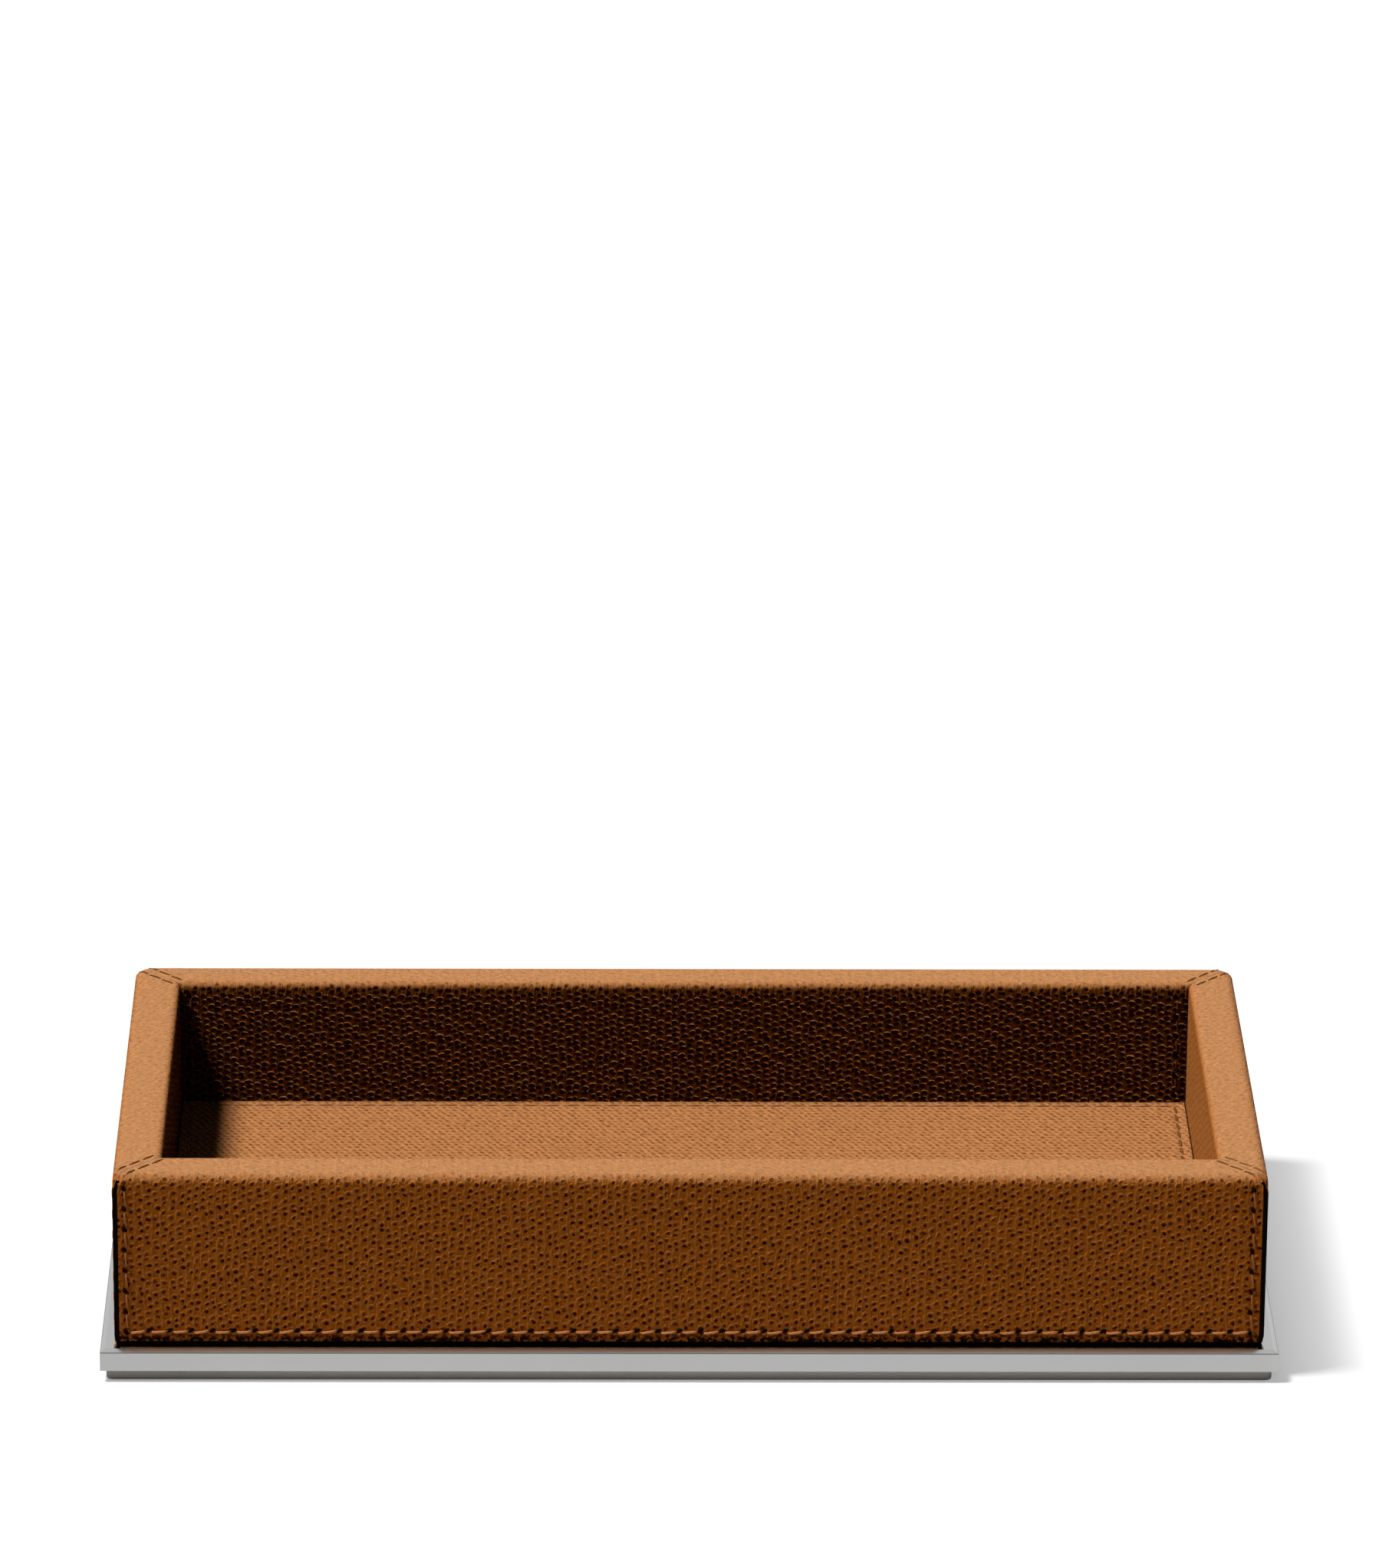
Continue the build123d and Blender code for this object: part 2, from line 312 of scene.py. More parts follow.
# Painted shade: tone for bounced light. Painted reflection: tone seen in the steel.
BOUNCE_TONE = (0.006, 0.002, 0.0005)
MIRROR_TONE = (1.0, 0.48, 0.20)
BOUNCE_SHARE, MIRROR_SHARE = 0.97, 0.9

PORE_RADIUS = 0.44
RING_RADIUS = 0.58
RING_WIDTH = 0.17
WALL_PRINT = {"column": 1.66, "row": 1.80, "loose": 0.40, "slant": 0.0}
FLOOR_PRINT = {"column": 1.45, "row": 1.60, "loose": 0.14, "slant": 1.1}
WALL_STRAY, FLOOR_STRAY = 2.2, 1.1

CROWN_MIDDLE = sheet_way(WALL / 2, TOP)
CROWN_HALF = 5.2
INSIDE_START = sheet_way(WALL, TOP - INNER_ROUND - 0.01)
INSIDE_END = sheet_way(WALL, INNER_FOOT)
BEND_HALF = 1.5
LIP_HEIGHT = 1.75


def fade(distance, radius, power=2.0):
    """One at no distance, falling off past a radius; a higher power has a firmer rim."""
    return (((distance * (1.0 / radius)).size() ** power) * -1.0).exponential()


def pores(recipe, across, along, edge, column, row, loose, slant):
    """Pore, ring, crescent and column masks; neighbouring columns are half a row apart.

    The edge holds how ragged a pore is, how much wider, how firm its rim is and which side
    of it the crescent is on.
    """
    ragged, wider, rim, upward = edge
    skew_x = across * (1.0 / column)
    skew_y = along * (1.0 / row) - skew_x * 0.5
    settings = {"voronoi_dimensions": "2D", "feature": "F1"}
    values = {"Vector": recipe.join(skew_x, skew_y), "Scale": 1.0, "Randomness": loose}
    centre = recipe.node("ShaderNodeTexVoronoi", settings, values, "Position")
    chance = recipe.node("ShaderNodeTexVoronoi", settings, values, "Color")
    centre_x, centre_y, _ = recipe.parts(centre)
    away_x = (skew_x - centre_x) * column
    away_y = ((skew_y - centre_y) + (skew_x - centre_x) * 0.5) * row
    spread = away_x * away_x + away_y * away_y * 0.90 + away_x * away_y * slant
    reach = spread.most(0.0) ** 0.5 + ragged
    odd, other, _ = recipe.parts(chance)
    pore = fade(reach - wider, PORE_RADIUS, rim) * (odd * 0.55 + 0.66)
    ring = fade(reach - wider * 0.6 - RING_RADIUS, RING_WIDTH) * (other * 0.3 + 0.8)
    # Side of each ring towards the lamp: it gets a painted highlight and a raised crest.
    lit_arc = ring * ((away_y * upward - away_x * 0.5) * 1.8).most(0.0).least(1.0)
    ribs = ((skew_x - 0.70) * (2 * math.pi) + math.pi / 2).sine() * 0.5 + 0.5
    return pore, ring, lit_arc, ribs


# %% Leather materials
def lay_flat(recipe, stray):
    """Noises and coordinates of the flat sheet, straight and a little out of line."""
    u, v, _ = recipe.parts(recipe.place("UV"))
    u, v = u * UV_UNIT, v * UV_UNIT
    flat = recipe.join(u, v)
    shift_x, shift_y, _ = recipe.parts(recipe.noise(flat, 0.11, 1.5, output="Color"))
    wave = recipe.noise(flat, 0.42, 1.0)
    return SimpleNamespace(
        u=u, v=v, flat=flat,
        across=u + (shift_x - 0.5) * stray + (wave - 0.5) * (stray / 2),
        along=v + (shift_y - 0.5) * stray,
        fine=recipe.noise(flat, 3.2, 4.0, 0.6),
        crease=recipe.noise(flat, 1.1, 3.0, 0.6),
        cloud=recipe.noise(flat, 0.035, 3.0, 0.5),
    )


def clouded(recipe, sheet, base):
    """The tan, a little lighter and darker in clouds."""
    return recipe.blend(sheet.cloud, [c * 0.92 for c in base], [c * 1.08 for c in base])


def ridges(recipe, x, y):
    """Thin raised strands where a stretched noise passes its middle."""
    strand = recipe.noise(recipe.join(x, y), 1.0, 2.0)
    return ((strand - 0.5).size() * -14.0).exponential()


def leather_surface(recipe, sheet, tone, pore_shade_tone, pore, ribs, ridge, crest, depth):
    """Finish of all the leather: speckles, slanting streaks, the print and its relief, with
    painted shade in the pores and painted tones for bounced and reflected light.
    """
    speckle = recipe.ramp(sheet.fine * 0.4 + sheet.crease * 0.6, [(0.38, 0.74), (0.58, 1.0)])
    tone = recipe.blend(1.0, tone, speckle, "MULTIPLY")
    slanting = recipe.join((sheet.u + sheet.v) * 1.2, (sheet.v - sheet.u) * 0.30)
    streak = recipe.ramp(recipe.noise(slanting, 1.0, 2.0), [(0.38, 0.82), (0.60, 1.0)])
    tone = recipe.blend(1.0, tone, streak, "MULTIPLY")
    # Painted shade in the pores.
    tone = recipe.blend(pore * depth, tone, pore_shade_tone)
    # Painted shade: the leather gives bounced light a near-black tone. Painted reflection: it
    # shows a brighter, redder tone in the steel.
    bounced = recipe.node("ShaderNodeLightPath", output="Is Diffuse Ray")
    tone = recipe.blend(bounced * BOUNCE_SHARE, tone, BOUNCE_TONE)
    mirrored = recipe.node("ShaderNodeLightPath", output="Is Glossy Ray")
    tone = recipe.blend(mirrored * MIRROR_SHARE, tone, MIRROR_TONE)
    relief = ribs ** 3.0 * (0.18 * depth) + sheet.crease * 0.08 + ridge * 0.12 - pore * 0.08
    height = crest + relief * (depth * 0.8 + 0.2) + sheet.fine * 0.010
    recipe.owner.cycles.use_bump_map_correction = False
    return recipe.surface({
        "Base Color": tone,
        "Roughness": 0.60 + pore * 0.15 + (sheet.fine - 0.5) * 0.2,
        "Specular IOR Level": 0.02,
        "Normal": recipe.bump(height, MM),
    })


def wall_material(name, tone, share, flatter, wider, arc_highlight_and_crest, closer):
    """Leather of the covers; all but the name says how it is on the inner flap."""
    recipe = Recipe(name)
    sheet = lay_flat(recipe, WALL_STRAY)
    v = sheet.v
    inside = fade(v - (INSIDE_START + INSIDE_END) / 2, (INSIDE_END - INSIDE_START) / 2, 14.0)
    bend = fade(v - INSIDE_START, BEND_HALF, 4.0)
    crown = fade(v - CROWN_MIDDLE, CROWN_HALF, 7.0)
    foot = fade(v, LIP_HEIGHT, 4.0)

    along = sheet.along + (v - INSIDE_START).most(0.0) * (closer - 1.0)
    ragged = (sheet.crease - 0.5) * 0.52 + crown * 0.10
    edge = (ragged, inside * wider, 3.0, 1.0 - inside * 2.0)
    pore, ring, lit_arc, ribs = pores(recipe, sheet.across, along, edge, **WALL_PRINT)
    ridge = ridges(recipe, sheet.u * 1.1, v * 0.22)

    # Inner flap: a darker tone is painted shade; the paler one, facing the lamp, is painted
    # light.
    lining_light_and_shade = recipe.blend(inside * share, clouded(recipe, sheet, LEATHER_TONE), tone)
    # Paler worn strands, and a painted highlight on the crescents towards the lamp.
    highlight_and_wear = (lit_arc * 0.50 + ribs ** 4.0 * 0.38 + ridge * 0.22) * (1.0 - inside * share)
    blotch = recipe.ramp(recipe.noise(sheet.flat, 0.85, 1.5), [(0.48, 1.0), (0.53, 0.0)])
    tone = recipe.blend(highlight_and_wear, lining_light_and_shade, HIGHLIGHT_AND_WEAR_TONE)
    # Painted highlight on the crescents of the inner flap.
    tone = recipe.blend(lit_arc * inside * arc_highlight_and_crest, tone, ARC_HIGHLIGHT_TONE)
    # Painted sheen over the tops.
    tone = recipe.blend(crown, tone, SHEEN_AND_STRAND_TONE)
    # Painted shade at the foot, where the lip curls under, and near-black blotches there.
    tone = recipe.blend(foot * 0.70, tone, LIP_SHADE_TONE)
    tone = recipe.blend(foot * blotch, tone, FOOT_BLOTCH_TONE)

    kept = (1.0 - inside * flatter) * (1.0 - bend * flatter)
    # Relief depth, and how deep the painted shade in the pores is: full on the walls, little on
    # the tops.
    depth = (1.0 - crown * 0.82) * kept
    ring_depth = (1.0 - crown * 0.94) * (1.0 - bend * 0.85) * (1.0 - inside * 0.55) * kept
    crest = lit_arc * (ring_depth * 0.15 + inside * (1.0 - bend) * (0.26 * arc_highlight_and_crest))
    # Pores of the inner flap get deeper painted shade.
    return leather_surface(
        recipe, sheet, tone, PORE_SHADE_TONE, pore * (1.0 + inside * 0.8),
        ribs * (1.0 - inside * 0.8), ridge, crest + ring * ring_depth * 0.13, depth)


def floor_material(name):
    """Leather of the floor."""
    recipe = Recipe(name)
    sheet = lay_flat(recipe, FLOOR_STRAY)
    edge = ((sheet.crease - 0.5) * 0.52, -0.04, 2.2, 1.0)
    pore, ring, _, ribs = pores(recipe, sheet.along, sheet.across, edge, **FLOOR_PRINT)
    ridge = ridges(recipe, sheet.u * 0.95 + sheet.v * 0.55,
                   (sheet.v * 0.87 - sheet.u * 0.5) * 0.25)
    # Floor tan, partly a painted sheen, with paler strands.
    tone = recipe.blend(ridge * 0.35, clouded(recipe, sheet, FLOOR_TAN_AND_SHEEN_TONE), SHEEN_AND_STRAND_TONE)
    return leather_surface(recipe, sheet, tone, DOT_SHADE_TONE, pore, ribs, ridge, ring * 0.013, 0.85)


# Front, back and left covers: the inner flap is painted darker, painted shade.
wall_leather = wall_material(
    "wall_leather", tone=(0.34, 0.078, 0.008), share=0.88, flatter=0.0, wider=0.24, arc_highlight_and_crest=1.0,
    closer=1.25)
# Right cover: the inner flap faces the lamp and is painted pale, painted light.
lit_side_leather = wall_material(
    "lit_side_leather", tone=(0.77, 0.266, 0.064), share=0.9, flatter=0.78, wider=-0.04, arc_highlight_and_crest=0.0,
    closer=1.0)
floor_leather = floor_material("floor_leather")

# %% [markdown]
# The cut sides of the leather are stained nearly black. The stain is a little uneven and
# follows the fibres, so it is a dark brown with a fine noise in tone and height. The same
# near-black is given to the walls of the awl holes, where it is painted shade. The slits
# that sunken thread lies in are painted a shaded brown, painted shade. These two fill the
# second and third material slots of every leather piece.

# %% Stained leather edge
EDGE_SLOT, SLIT_SLOT = 1, 2


def edge_material(name, dark, light):
    """Dark stain on cut leather, also used as painted shade in holes and slits."""
    recipe = Recipe(name)
    grit = recipe.noise(recipe.place(), 2400.0, 3.0)
    return recipe.grained(grit, recipe.blend(grit, dark, light), 0.80, 0.2, 0.03, 0.05)


# Near-black: stain on the cut sides and painted shade in the awl holes. Brown: painted shade in
# the slits.
edge_stain_and_hole_shade = edge_material("stained_edge_and_hole_shade", (0.001, 0.001, 0.001), (0.006, 0.004, 0.002))
slit_shade = edge_material("slit_shade", (0.17, 0.046, 0.008), (0.30, 0.090, 0.017))

# %% [markdown]
# ## Folding a cover
# Each wall is wrapped in one sheet of leather: up the outside, over the top and down the
# inside. A block of the wall's size has its underside and ends taken off, its two long top
# edges are rounded with a bevel, and what is left is the folded sheet. Cuts across it give
# the mesh enough points to be pressed in along the stitches, and two slanting cuts make the
# mitres. Operators act on what is selected, so small helpers pick parts by their place.

# %% Helpers for edit mode
def deselect_all():
    """Nothing is selected afterwards."""
    if bpy.context.object and bpy.context.object.mode != "OBJECT":
        bpy.ops.object.mode_set(mode="OBJECT")
    bpy.ops.object.select_all(action="DESELECT")


def make_active(piece):
    """Only this piece is selected and active."""
    deselect_all()
    piece.select_set(True)
    bpy.context.view_layer.objects.active = piece


def settle(piece):
    """Moves the place of the piece into its mesh."""
    make_active(piece)
    bpy.ops.object.transform_apply(location=True, rotation=True, scale=True)


def rename(piece, name):
    """Gives a piece and its mesh one name."""
    piece.name = name
    piece.data.name = name


def add_block(name, low, high):
    """Block between two corners given in millimetres."""
    deselect_all()
    low, high = Vector(low) * MM, Vector(high) * MM
    bpy.ops.mesh.primitive_cube_add(size=1.0, location=(low + high) / 2, scale=high - low)
    piece = bpy.context.object
    rename(piece, name)
    settle(piece)
    return piece


def copy_of(model):
    """Copy of a piece with a mesh of its own."""
    copy = model.copy()
    copy.data = model.data.copy()
    scene.collection.objects.link(copy)
    return copy


def join(pieces, name):
    """Makes one piece of several."""
    deselect_all()
    for piece in pieces:
        piece.select_set(True)
    bpy.context.view_layer.objects.active = pieces[0]
    if len(pieces) > 1:
        bpy.ops.object.join()
    rename(pieces[0], name)
    return pieces[0]


def pick(piece, kind, test):
    """Selects the parts of one kind that pass a test of their place in millimetres."""
    bpy.ops.mesh.select_mode(type=kind)
    bpy.ops.mesh.select_all(action="DESELECT")
    mesh = bmesh.from_edit_mesh(piece.data)
    if kind == "VERT":
        chosen = [vert for vert in mesh.verts if test(vert.co / MM)]
    elif kind == "EDGE":
        chosen = [edge for edge in mesh.edges if test(*(end.co / MM for end in edge.verts))]
    else:
        chosen = [face for face in mesh.faces
                  if test(face.calc_center_median() / MM, face.normal)]
    for part in chosen:
        part.select_set(True)
    mesh.select_flush_mode()
    bmesh.update_edit_mesh(piece.data)


def cut(place, direction, **clear):
    """Cuts what is selected with a plane given in millimetres."""
    bpy.ops.mesh.bisect(plane_co=Vector(place) * MM, plane_no=direction, **clear)


def cut_all(places, direction):
    """Cuts the whole mesh with parallel planes."""
    for place in places:
        bpy.ops.mesh.select_all(action="SELECT")
        cut(Vector(direction) * place, direction)


def same(first, second, slack=0.01):
    """Whether two lengths in millimetres are equal."""
    return abs(first - second) < slack


def apply_modifier(piece, kind, **settings):
    """Adds a modifier and applies it."""
    make_active(piece)
    modifier = piece.modifiers.new(kind.lower(), kind)
    for key, value in settings.items():
        setattr(modifier, key, value)
    bpy.ops.object.modifier_apply(modifier=modifier.name)


def soften(piece, width, segments, degrees):
    """Bevels every edge that is sharper than an angle."""
    apply_modifier(piece, "BEVEL", width=width * MM, segments=segments, limit_method="ANGLE",
                   angle_limit=math.radians(degrees))


def smooth(piece, degrees=35):
    """Smooth shading that keeps sharp edges."""
    make_active(piece)
    bpy.ops.object.shade_smooth_by_angle(angle=math.radians(degrees))


def give_materials(piece, *materials):
    """Sets the material slots of a piece."""
    piece.data.materials.clear()
    for material in materials:
        piece.data.materials.append(material)


def stand_for(piece, node):
    """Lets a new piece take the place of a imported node."""
    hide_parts(node)
    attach(piece, BODY)
    print(piece.name, len(piece.data.polygons), "faces, for", node)


# %% [markdown]
# The long covers stop one leather thickness short of the corners, and the raw ends of the
# side covers show there as thin dark strips. Both are folded by the same steps.

# %% Fold the sheet
STITCH_LEVEL = FLAP_FOOT + 2.2
STITCH_INSET = 2.7
ROW_TOP = TOP - 3.0
SEAM_GAP = 0.04
FLAP_GAP = 0.03
SHEET_START = {"leather_front": 0.0, "leather_left": 400.0, "leather_floor": 800.0}
LOW_CUTS = (-1.8, -1.35, -0.95, -0.6, -0.3, 0.0, 0.3, 0.65, 1.1, 1.8, 3.0)
LEVEL_CUTS = (16.0, 20.0, 24.0, 28.0, 32.0, 36.0, 39.5, 41.6, 42.8)
EDGE_CUTS = (-1.15, -0.6, -0.3, 0.3, 0.65, 1.3)
TOP_CUTS = (3.2, 4.6, 6.0, 7.4)


def lay_out_sheet(piece, way):
    """Writes flat sheet coordinates into the UV map: x, and the way along the sheet."""
    layer = piece.data.uv_layers.active
    shift = SHEET_START[piece.name]
    for loop in piece.data.loops:
        x, y, z = piece.data.vertices[loop.vertex_index].co / MM
        layer.data[loop.index].uv = ((x + shift) / UV_UNIT, way(y, z) / UV_UNIT)


def row_count(start, end):
    """Number of stitches in a row of a given run."""
    return max(1, round((end - start) / PITCH))


def fold_cover(name, half_span, outer, short_flap):
    """One folded sheet with its outer face at y = outer, before it has a thickness."""
    piece = add_block(name, (-half_span, outer, FLAP_FOOT), (half_span, outer + WALL, TOP))
    bpy.ops.object.mode_set(mode="EDIT")
    pick(piece, "FACE", lambda centre, normal: normal.z < -0.5 or abs(normal.x) > 0.5)
    bpy.ops.mesh.delete(type="FACE")
    pick(piece, "VERT", lambda p: same(p.y, outer + WALL) and p.z < TOP - 1.0)
    bpy.ops.transform.translate(value=(0.0, 0.0, (INNER_FOOT - FLAP_FOOT) * MM))
    for depth, radius, segments in ((0.0, OUTER_ROUND, 7), (WALL, INNER_ROUND, 5)):
        pick(piece, "EDGE", lambda a, b: all(
            same(p.z, TOP) and same(p.y, outer + depth) for p in (a, b)
        ))
        bpy.ops.mesh.bevel(offset=radius * MM, segments=segments, affect="EDGES")
    reach = half_span - STITCH_INSET
    cut_all([-reach, reach], (1, 0, 0))
    pick(piece, "EDGE", lambda a, b: abs(a.x - b.x) > reach)
    bpy.ops.mesh.subdivide(number_cuts=4 * row_count(-reach, reach) - 1)
    ends = [reach + near for near in EDGE_CUTS]
    cut_all([-x for x in ends] + ends, (1, 0, 0))
    cut_all([STITCH_LEVEL + near for near in LOW_CUTS] + list(LEVEL_CUTS), (0, 0, 1))
    cut_all([outer + depth for depth in TOP_CUTS], (0, 1, 0))
    bpy.ops.object.mode_set(mode="OBJECT")
    lay_out_sheet(piece, lambda y, z: sheet_way(max(0.0, y - outer), z))
    mitre_cover(piece, half_span, outer, short_flap)
    return piece


def mitre_cover(piece, half_span, outer, short_flap):
    """Cuts the ends of a cover to the mitres, and its outer flap square."""
    bpy.ops.object.mode_set(mode="EDIT")
    fold = TOP - OUTER_ROUND
    for side in (-1, 1):
        pick(piece, "FACE", lambda centre, normal: centre.z > fold or centre.y > outer + 1.0)
        place = (side * (half_span - SEAM_GAP), outer, 0.0)
        cut(place, (side, 1.0, 0.0), clear_outer=True)
        if short_flap:
            pick(piece, "FACE",
                 lambda centre, normal: centre.z < fold and centre.y < outer + 1.0)
            place = (side * (half_span - LEATHER - FLAP_GAP), outer, 0.0)
            cut(place, (side, 0.0, 0.0), clear_outer=True)
    bpy.ops.object.mode_set(mode="OBJECT")
    print(piece.name, "folded:", len(piece.data.polygons), "faces")


# %% [markdown]
# The stitches pull the leather down into a shallow furrow, and the strip below the lowest
# row curls in to the board with small puckers. An operator can't follow such a pattern, so
# each point of the outer flap is moved by a short formula of its place. The corners are also
# rounded in plan towards the top, where the leather is stretched over the mitre.

# %% Press the furrows and round the corners
FURROW, FURROW_BEAT, FURROW_WIDTH = 0.07, 0.03, 0.75
UPRIGHT_FURROW, UPRIGHT_WIDTH = 0.18, 0.7
LIP_CURL, LIP_PUCKER, PUCKER_SLANT = 0.24, 0.20, 0.35
CORNER_RADIUS = 4.3
CORNER_FADE = 2.2


def bell(distance, width):
    """Soft bump that fades with distance."""
    return math.exp(-(distance / width) ** 2)


def press_furrows(piece, half_span, outer):
    """Moves the points of the outer flap in along the stitch rows."""
    reach = half_span - STITCH_INSET
    step = 2 * reach / row_count(-reach, reach)
    for vert in piece.data.vertices:
        x, y, z = vert.co / MM
        if y > outer + 0.5 or z > TOP - OUTER_ROUND + 0.01:
            continue
        beat = math.cos(2 * math.pi * (x + reach) / step)
        at_row = bell(z - STITCH_LEVEL, FURROW_WIDTH)
        inward = 0.0
        if abs(x) < reach + 1.0:
            inward += (FURROW + FURROW_BEAT * beat) * at_row
        if z > STITCH_LEVEL - 1.0 and z < ROW_TOP + 1.0:
            inward += UPRIGHT_FURROW * bell(abs(x) - reach, UPRIGHT_WIDTH) * (1.0 - at_row)
        if z < STITCH_LEVEL:
            fall = (STITCH_LEVEL - z) / (STITCH_LEVEL - FLAP_FOOT)
            lean = math.cos(2 * math.pi * ((x + reach) / step - PUCKER_SLANT * fall))
            inward += LIP_CURL * fall ** 1.5 + LIP_PUCKER * lean * fall * (1.3 - fall)
        vert.co.y += inward * MM


def round_corners(piece):
    """Rounds the upright corners of the tray in plan, more and more towards the top."""
    shoulder = TOP - OUTER_ROUND - CORNER_FADE
    for vert in piece.data.vertices:
        x, y, z = vert.co / MM
        radius = CORNER_RADIUS * min(1.0, max(0.0, (z - shoulder) / (TOP - shoulder)))
        in_x = radius - (HALF_LENGTH - abs(x))
        in_y = radius - (HALF_WIDTH - abs(y))
        if in_x > 0.0 and in_y > 0.0:
            ratio = max(in_x, in_y) / math.hypot(in_x, in_y)
            vert.co.x = math.copysign(HALF_LENGTH - radius + in_x * ratio, x) * MM
            vert.co.y = math.copysign(HALF_WIDTH - radius + in_y * ratio, y) * MM


# %% [markdown]
# The stitch rows are needed twice, for the awl holes in the leather and for the threads, so
# they are worked out first, each with its start, its end and the direction out of the leather.

# %% Stitch rows of one long wall and one short wall
SEAM_ROW_OFFSET = 1.4
SEAM_ROW_START, SEAM_ROW_END = 0.6, 1.9
INNER_ROW_INSET, INNER_ROW_LIFT = 2.3, 1.5


def outer_rows(half_span, outer):
    """Two uprights and the lower row of an outer face."""
    reach = half_span - STITCH_INSET
    out = Vector((0, -1, 0))
    low, high = STITCH_LEVEL, ROW_TOP
    rows = [(Vector((x, outer, low)), Vector((x, outer, high)), out) for x in (-reach, reach)]
    rows.append((Vector((-reach, outer, low)), Vector((reach, outer, low)), out))
    return rows


def seam_rows(half_span, outer):
    """A row beside each mitre on the top."""
    rows = []
    for side in (-1, 1):
        seam = Vector((side, -1, 0)).normalized()
        away = Vector((-side, -1, 0)).normalized() * SEAM_ROW_OFFSET
        inner_corner = Vector((side * (half_span - WALL), outer + WALL, TOP))
        outer_corner = Vector((side * half_span, outer, TOP))
        start = inner_corner + seam * SEAM_ROW_START + away
        end = outer_corner - seam * SEAM_ROW_END + away
        rows.append((start, end, Vector((0, 0, 1))))
    return rows


def inner_rows(half_span, outer):
    """Upright rows beside the inner corners."""
    reach = half_span - WALL - INNER_ROW_INSET
    low, high = FLOOR_TOP + INNER_ROW_LIFT, ROW_TOP
    face = outer + WALL
    return [
        (Vector((x, face, low)), Vector((x, face, high)), Vector((0, 1, 0)))
        for x in (-reach, reach)
    ]


def stations(row):
    """Places of the holes of a row."""
    start, end, _ = row
    count = row_count(0.0, (end - start).length)
    return [start + (end - start) * (index / count) for index in range(count + 1)]


# %% [markdown]
# An awl leaves a hole at a slant to the row, a little to one side of it. Beside the mitres and
# round the floor the thread has sunk into slits. A six-sided cutter is modelled for each kind,
# copied to every place and joined, and a Boolean takes all of them out of the leather at once.
# The cutter's faces carry the second or third material slot, so what it opens comes out
# dark: painted shade in the holes and slits.

# %% Awl holes
HOLE_LONG = 1.7
HOLE_WIDE = 1.05
HOLE_DEEP = 0.8
HOLE_DRIFT = 0.34
HOLE_LEAN = 28.0
SLIT_LONG = 4.2
SLIT_WIDE = 0.80
SLIT_DEEP = 0.16
SLIT_LEAN = 4.0


def row_frame(row, place):
    """Matrix with X along the row and Z out of the leather, at a place on it."""
    start, end, out = row
    along = (end - start).normalized()
    side = out.cross(along)
    axes = Matrix((along, side, out)).transposed().to_4x4()
    return Matrix.Translation(place * MM) @ axes


def make_awl(name, long, wide, deep, slot):
    """Cutter of one hole, its middle at the surface of the leather."""
    deselect_all()
    bpy.ops.mesh.primitive_cylinder_add(vertices=6, radius=0.5, depth=2 * deep * MM)
    awl = bpy.context.object
    awl.name = name
    awl.scale = (long * MM, wide * MM, 1.0)
    settle(awl)
    for face in awl.data.polygons:
        face.material_index = slot
    return awl


def copies_of(model, matrices, name):
    """Copies of a model at several places, joined to one piece."""
    copies = []
    for matrix in matrices:
        copies.append(copy_of(model))
        copies[-1].matrix_world = matrix
    joined = join(copies, name)
    settle(joined)
    return joined


def remove(piece):
    """Deletes a helper object with its mesh."""
    mesh = piece.data
    bpy.data.objects.remove(piece)
    bpy.data.meshes.remove(mesh)


def hole_frames(rows):
    """Places of the awl holes at the ends of the stitches, one where two rows meet."""
    frames = []
    taken = []
    drift = Matrix.Translation((0.0, HOLE_DRIFT * MM, 0.0))
    lean = Matrix.Rotation(math.radians(HOLE_LEAN), 4, "Z")
    for row in rows:
        for place in stations(row):
            if all((place - other).length > 0.5 for other in taken):
                taken.append(place)
                frames.append(row_frame(row, place) @ drift @ lean)
    return frames


def slit_frames(rows):
    """Places of the slits under the stitches."""
    frames = []
    lean = Matrix.Rotation(math.radians(SLIT_LEAN), 4, "Z")
    for row in rows:
        holes = stations(row)
        for first, second in zip(holes, holes[1:]):
            stretch = Matrix.Diagonal(((second - first).length / PITCH, 1.0, 1.0, 1.0))
            frames.append(row_frame(row, (first + second) / 2) @ lean @ stretch)
    return frames


def punch(piece, cutter, matrices):
    """Takes copies of a cutter out of the leather."""
    cutters = copies_of(cutter, matrices, "cutters")
    apply_modifier(piece, "BOOLEAN", operation="DIFFERENCE", object=cutters, solver="EXACT")
    remove(cutters)
    print(piece.name, "holes:", len(matrices))


# %% [markdown]
# Now the sheet gets its thickness inwards, the cut sides take the dark stain, and a small
# bevel softens every cut edge so that it catches a line of light. The holes come last.

# %% Make the four covers
EDGE_SOFTNESS = 0.16


def turn(piece, degrees):
    """Turns a piece about the upright axis through the origin."""
    piece.rotation_euler = (0.0, 0.0, math.radians(degrees))
    settle(piece)


def thicken(piece):
    """Thickness, stained sides and softened edges of a sheet of leather."""
    give_materials(piece, wall_leather, edge_stain_and_hole_shade, slit_shade)
    apply_modifier(piece, "SOLIDIFY", thickness=LEATHER * MM, offset=-1.0, use_even_offset=True,
                   material_offset_rim=EDGE_SLOT)
    soften(piece, EDGE_SOFTNESS, 2, 55)


